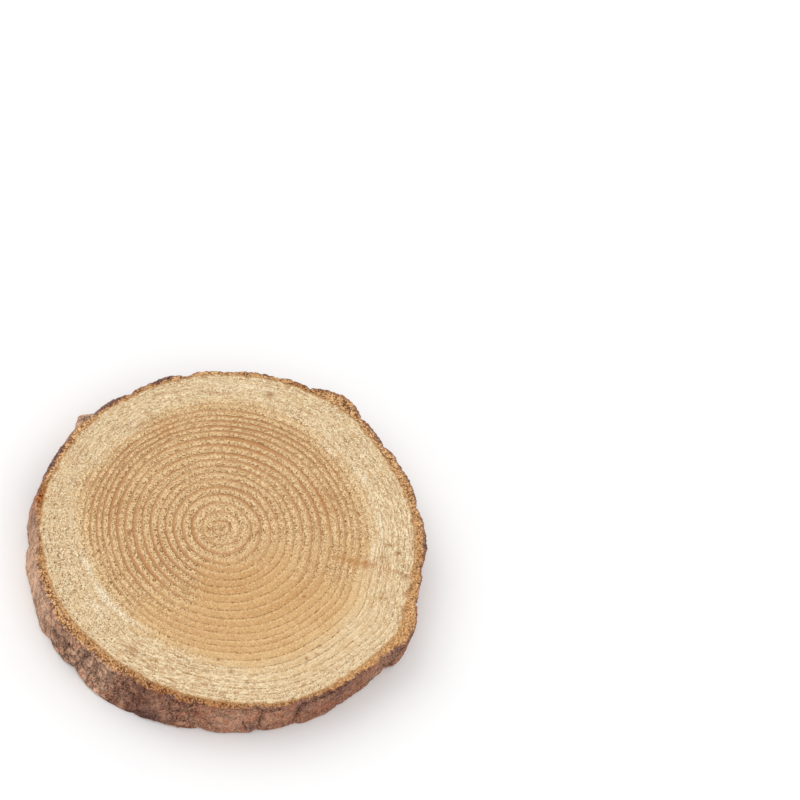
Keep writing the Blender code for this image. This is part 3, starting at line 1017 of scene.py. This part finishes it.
def sawn_wood():
    """Sawn end grain: cream sapwood, tan heartwood, a darker band and a fine dark line each year."""
    wood = Shader("sawn_wood")
    place = wood.place()
    names = ("ring", "share", "clean", "heart", "summer", "streaky", "knot")
    ring, share, clean, heart, summer, streaky, knot = (wood.value(name) for name in names)
    rough = 1.0 - clean
    sap = 1.0 - heart
    out = share * TRUNK_RADIUS

    def along_rings(drawn, across):
        """Places for a texture that is slow along the rings and quick across them."""
        return place.scaled(drawn, drawn, 0.0).with_height(across)

    streak = along_rings(0.5, out * 2.2).noise(1.0, 2.0, 0.6)
    dashes = along_rings(1.7, out * 2.4).noise(1.0, 1.0, 0.5)
    grain = along_rings(1.7, out * 1.9).noise(1.0, 2.0, 0.7)
    # Each year's bands differ a little, and change slowly round the ring.
    good_year = along_rings(0.022, ring * 0.8).noise(1.0, 1.0, 0.5)
    flat = place.scaled(1.0, 1.0, 0.25)
    specks = flat.noise(0.4, 1.0, 0.5)
    cloud = flat.noise(9.0, 3.0, 0.55).step(0.35, 0.65)
    blotch = flat.noise(2.4, 2.0, 0.5)
    blobs = flat.noise(0.6, 1.0, 0.6)
    salt = flat.cells(0.36)

    # Late wood darkens from its ragged start, and ends in a narrow winter line and a torn lip.
    grown = wood.math("FRACT", ring)
    ragged = (grain - 0.5) * (rough * 0.45 + 0.15)
    start = good_year.step(0.36, 0.64, 0.68, 0.56) - summer * 0.14
    late = (grown + ragged - start).step(-0.02, 0.2) * grown.step(0.93, 1.0, 1.0, 0.1)
    winter = grown.step(0.76, 0.88) * grown.step(0.96, 1.0, 1.0, 0.1)
    line_place = grown + (dashes - 0.5) * 0.25
    line = line_place.step(0.0, 0.04) * line_place.step(0.08, 0.17, 1.0, 0.0)
    line = line * dashes.step(0.45, 0.56) * blotch.step(0.36, 0.6, 0.35, 1.0)
    lip = grown.step(0.12, 0.2) * grown.step(0.24, 0.45, 1.0, 0.0)

    tan = cloud.mix((212, 175, 127), (219, 186, 141))
    tan = (rough * share.step(0.42, 0.2) * 0.35).mix(tan, (224, 193, 156))
    base = heart.mix(cloud.mix((209, 179, 138), (219, 194, 159)), tan)
    early = heart.mix((234, 213, 178), (230, 199, 155))
    turning = heart * sap * clean.step(0.0, 1.0, 1.3, 0.4)
    band = heart * (summer * 0.35 + 0.6) + 0.18 + turning * 0.4
    band = late * band * (rough * 0.88 + 0.12) * good_year.step(0.34, 0.6, 0.85, 1.1)
    winter = winter * (heart * 0.4 + summer * 0.2 + 0.1) * (rough * 0.9 + 0.1)
    inked = clean * 0.65 + streaky * 0.25 + sap * 0.35 + 0.25
    base = wood.layers(base, (
        (turning, (228, 192, 126)),
        (rough * grown.step(0.6, 0.2) * 0.5, early),
        (clean * heart * share.step(0.78, 0.5, 0.35, 0.9),
         good_year.step(0.38, 0.62).mix((200, 158, 108), (192, 145, 94))),
        (clean * grown.step(0.25, 1.0) * 0.14, heart.mix((206, 170, 122), (184, 138, 86))),
        (band, heart.mix((194, 152, 102), (182, 134, 92))),
        (winter * good_year.step(0.34, 0.6, 0.6, 1.2), (150, 102, 62)),
        (lip * clean * salt.step(0.35, 0.6, 0.15, 0.55), early),
        (line * inked, (124, 80, 42)),
    ))

    # The saw tears the soft wood most, and less so in the knot and in calm patches of sapwood.
    torn = rough * (1.0 - late * (heart * (summer * 0.4 + 0.45) + 0.1))
    torn = (torn * (1.0 - heart * 0.12) + clean * 0.27) * (1.0 - knot * 0.75)
    calm = sap * flat.noise(4.5, 2.0, 0.6).step(0.42, 0.6, 0.0, 0.45)
    torn = torn * (1.0 - calm) * (1.0 - streaky * 0.3)
    dug = torn * grown.step(0.5, 0.05, 0.65, 1.15)
    fibres = heart.mix((255, 242, 214), (244, 216, 176))
    uneven = sap * 0.3 + 0.4
    plain = wood.layers(base, (
        (blotch.step(0.52, 0.7) * rough * sap * 0.4, (240, 220, 186)),
        (blotch.step(0.45, 0.3) * rough * 0.4, (190, 146, 96)),
        (knot * 0.9, (170, 114, 64)),
        (blobs.step(0.53, 0.63) * torn * uneven, fibres),
        (blobs.step(0.47, 0.37) * dug * uneven, heart.mix((178, 132, 84), (172, 124, 80))),
        (grain.step(0.52, 0.62) * torn * 0.5, fibres),
        (grain.step(0.47, 0.38) * dug * 0.45, heart.mix((174, 128, 80), (168, 120, 76))),
    ))
    chips = place.scaled(-1.0, 1.0, 0.25).dots(0.56) * grain.step(0.4, 0.54) * torn
    pits = flat.dots(0.6) * grain.step(0.6, 0.48) * dug
    pitted = sap * 0.3 + 0.65
    base = wood.layers(plain, (
        (salt.step(0.6, 0.7) * torn * 0.7, fibres),
        (salt.step(0.36, 0.28) * dug * 0.7, (150, 102, 58)),
        (chips * 0.85, fibres),
        (pits * pitted, heart.mix((150, 98, 52), (130, 82, 44))),
        (specks.step(0.42, 0.34) * dug * pitted * 0.9, (128, 78, 42)),
    ))
    white = wood.value("white") * dashes.step(0.34, 0.52) * salt.step(0.1, 0.35)
    frayed = (grain - 0.5) * 0.05 + (blotch - 0.5) * 0.06
    base = wood.layers(wood.stretched(plain, base, 1.3 - sap * 0.3), (
        (streak.step(0.52, 0.62) * streaky * 0.65, fibres),
        (streak.step(0.46, 0.38) * streaky * 0.6, (180, 132, 84)),
        (white * blobs.step(0.38, 0.56, 0.45, 1.0), (255, 249, 232)),
        (wood.value("brown") * dashes.step(0.38, 0.5) * 0.85, (150, 92, 52)),
        (wood.value("stain") * 1.1, (150, 98, 54)),
        (share.step(0.03, 0.0, 0.0, 0.6), (160, 112, 72)),
        ((share + frayed).step(0.988, 0.998) * 0.85,
         specks.step(0.4, 0.6).mix((150, 100, 58), (206, 162, 112))),
    ))
    height = grain * (torn * 0.8 + 0.1) + chips * 0.5 + blobs * torn * 0.5
    height = height + streak * streaky + pits * -0.6
    return wood.finish({
        "Base Color": base.scaled(*light((255, 252, 242))),
        "Roughness": 0.86,
        "Specular IOR Level": 0.15,
        "Normal": height.bump(0.3),
    })


def dry_bark():
    """Crumbly orange brown bark where it is sawn, and a mauve brown skin outside with stains, painted
    shade in its cracks and hollows, and painted light and shade on its sides.
    """
    bark = Shader("bark")
    place = bark.place()
    names = ("outside", "dark", "purple", "warm", "pale", "tone", "rugged", "scale")
    outside, dark, purple, warm, pale, tone, rugged, scale = (bark.value(name) for name in names)
    fibre = place.scaled(1.0, 1.0, 0.3).noise(0.9, 4.0, 0.7)
    squat = place.scaled(1.0, 1.0, 0.6)
    broad = squat.noise(5.5, 4.0, 0.6)
    crumbs = place.noise(0.7, 2.0, 0.7)
    dust = place.noise(0.5, 1.0, 0.5)
    patch = place.noise(2.4, 3.0, 0.6)
    hue = place.scaled(1.0, 1.0, 0.8).noise(3.0, 2.0, 0.5)
    grit = place.cells(0.5)
    pepper = place.cells(0.36)
    seam = bark.math("ABSOLUTE", squat.noise(2.2, 2.0, 0.55) - 0.5).step(0.03, 0.006)
    plates = place.scaled(1.0, 1.0, 0.7).warped(2.0, 4.0).cells(3.6)

    plain = crumbs.step(0.36, 0.62).mix((194, 139, 86), (226, 176, 120))
    plain = patch.step(0.4, 0.65, 0.0, 0.5).mix(plain, (208, 152, 94))
    spotted = rugged * 0.65 + 0.35
    inner = bark.layers(plain, (
        (patch.step(0.5, 0.42) * rugged * (warm * 0.3 + 0.7), (104, 58, 28)),
        (dust.step(0.56, 0.66) * spotted * 0.85, (246, 208, 158)),
        (crumbs.step(0.44, 0.36) * spotted * 0.75, (118, 70, 36)),
        (dust.step(0.45, 0.36) * spotted * 0.8, (118, 70, 36)),
        (grit.step(0.34, 0.24) * spotted * 0.55, (92, 50, 26)),
        (grit.step(0.66, 0.76) * spotted * 0.5, (244, 206, 156)),
    ))
    inner = bark.layers(bark.stretched(plain, inner, 1.1), (
        (dark * 0.4, (96, 54, 26)),
        (warm, crumbs.step(0.38, 0.65).mix((80, 38, 18), (196, 124, 66))),
        (pale * 0.35, (208, 160, 106)),
    ))

    broken = rugged * 0.4 + 0.25
    shown = rugged * 0.35 + 0.25
    # Stains and painted shade: the dark value darkens stains, the cracks, the gaps between scales and
    # some hollows under the rim.
    stains_and_shade = bark.math("MINIMUM", dark * patch.step(0.3, 0.55, 0.7, 1.0), 1.0)
    skin = broad.step(0.36, 0.64).mix((144, 98, 76), (178, 130, 102))
    skin = bark.layers(skin, (
        # The tone layers here and the last one are partly the bark's own tone, partly painted light on
        # the side facing -X and painted shade on the front.
        (tone.step(0.0, 1.0, 0.0, 0.9), (252, 214, 184)),
        (tone.step(0.0, -1.0, 0.0, 0.9), (78, 50, 42)),
        (plates.step(0.56, 0.62) * broken, (186, 150, 124)),
        (plates.step(0.42, 0.36) * broken, (98, 62, 54)),
        (scale.step(0.0, 0.9) * shown, (206, 164, 134)),
        (scale.step(0.0, -0.9) * shown, (92, 60, 50)),
        (warm * 0.7, (180, 110, 68)),
        (hue.step(0.53, 0.62, 0.0, 0.5), (172, 104, 68)),
        (hue.step(0.47, 0.38, 0.0, 0.6), (140, 116, 96)),
        (pale * broad.step(0.25, 0.6, 0.5, 0.9), (208, 172, 144)),
        (patch.step(0.455, 0.43) * (rugged * 0.35 + 0.4), (80, 50, 42)),
        (patch.step(0.55, 0.575) * shown, (208, 164, 132)),
        (seam * patch.step(0.42, 0.55) * (rugged * 0.45 + 0.3), (58, 36, 30)),
        (fibre.step(0.47, 0.36) * 0.5, (84, 52, 40)),
        (fibre.step(0.54, 0.66) * 0.4, (220, 178, 148)),
        (purple * tone.step(0.2, 1.2, 0.9, 0.2), (84, 62, 68)),
        (stains_and_shade * 0.92, (52, 32, 26)),
        (dust.step(0.57, 0.68) * 0.25, (226, 194, 168)),
        (dust.step(0.43, 0.32) * 0.35, (66, 40, 30)),
        (grit.step(0.66, 0.76) * 0.15, (226, 194, 168)),
        (grit.step(0.34, 0.24) * 0.2, (70, 44, 34)),
        (pepper.step(0.62, 0.7) * 0.2, (226, 194, 168)),
        (pepper.step(0.34, 0.26) * 0.25, (64, 40, 32)),
        (tone.step(-0.2, -1.0, 0.0, 0.4), (84, 52, 44)),
    ))
    # Lit and shaded copies of the skin: where the tone is high, a lighter copy, partly painted light;
    # elsewhere a darker, redder copy, partly painted shade.
    skin = tone.step(0.0, 0.6).mix(skin.scaled(0.99, 0.83, 0.79), skin.scaled(1.16, 1.1, 1.06))
    height = crumbs * 0.7 + fibre * 0.6 + dust * 0.3
    return bark.finish({
        "Base Color": outside.mix(inner, skin),
        "Roughness": 0.9,
        "Specular IOR Level": 0.12,
        "Normal": height.bump(0.45),
    })


def plain_floor():
    tone = (0.9, 0.9, 0.9, 1.0)
    return Shader("floor").finish({"Base Color": tone, "Roughness": 0.9, "Specular IOR Level": 0.0})


# Floor, lights and camera, in metres
FLOOR_HALF_WIDTH = 6.0
# Each light's name, azimuth, elevation, distance, diameter and power.
LIGHTS = (
    ("key", -115.0, 58.0, 1.6, 1.5, 6.8),
    ("fill", 40.0, 62.0, 1.8, 1.7, 4.6),
)
STUDIO_BRIGHTNESS = 0.88
CAMERA_AIM = Vector((0.04266, 0.06612, 0.017))
CAMERA_AZIMUTH = -2.4
CAMERA_ELEVATION = 58.0
CAMERA_ROLL = 16.5
CAMERA_DISTANCE = 2.18
CAMERA_LENS = 300.0
CAMERA_SENSOR = 36.0


def toward(azimuth, elevation):
    """The way out from the slice at this azimuth, which is 0 on the camera's side, and elevation."""
    turn, rise = math.radians(azimuth), math.radians(elevation)
    return Vector((math.sin(turn) * math.cos(rise), -math.cos(turn) * math.cos(rise), math.sin(rise)))


def make_floor():
    half = FLOOR_HALF_WIDTH
    data = bpy.data.meshes.new("floor")
    corners = [(-half, -half, 0.0), (half, -half, 0.0), (half, half, 0.0), (-half, half, 0.0)]
    data.from_pydata(corners, [], [(0, 1, 2, 3)])
    data.materials.append(plain_floor())
    floor = bpy.data.objects.new("floor", data)
    bpy.context.scene.collection.objects.link(floor)


def make_lights():
    for name, azimuth, elevation, distance, size, power in LIGHTS:
        data = bpy.data.lights.new(name, "AREA")
        data.shape = "DISK"
        data.size = size
        data.energy = power
        lamp = bpy.data.objects.new(name, data)
        out = toward(azimuth, elevation)
        lamp.location = out * distance
        lamp.rotation_mode = "QUATERNION"
        lamp.rotation_quaternion = out.to_track_quat("Z", "Y")
        bpy.context.scene.collection.objects.link(lamp)
    world = bpy.data.worlds.new("studio")
    world.use_nodes = True
    background = world.node_tree.nodes["Background"]
    background.inputs["Color"].default_value = (1.0, 1.0, 1.0, 1.0)
    background.inputs["Strength"].default_value = STUDIO_BRIGHTNESS
    bpy.context.scene.world = world


def make_camera():
    data = bpy.data.cameras.new("camera")
    data.lens = CAMERA_LENS
    data.sensor_width = CAMERA_SENSOR
    data.clip_start = 0.01
    data.clip_end = 50.0
    camera = bpy.data.objects.new("camera", data)
    out = toward(CAMERA_AZIMUTH, CAMERA_ELEVATION)
    roll = Matrix.Rotation(math.radians(CAMERA_ROLL), 4, "Z")
    turn = out.to_track_quat("Z", "Y").to_matrix().to_4x4()
    camera.matrix_world = Matrix.Translation(CAMERA_AIM + out * CAMERA_DISTANCE) @ turn @ roll
    bpy.context.scene.collection.objects.link(camera)
    bpy.context.scene.camera = camera


def main():
    make_camera()
    make_lights()
    make_floor()
    bpy.context.scene.view_settings.view_transform = "Standard"
    wood = sawn_wood()
    make_half("wood_upper", True, UPPER_ROWS, wood)
    make_half("wood_lower", False, LOWER_ROWS, wood)
    make_bark(dry_bark())


main()
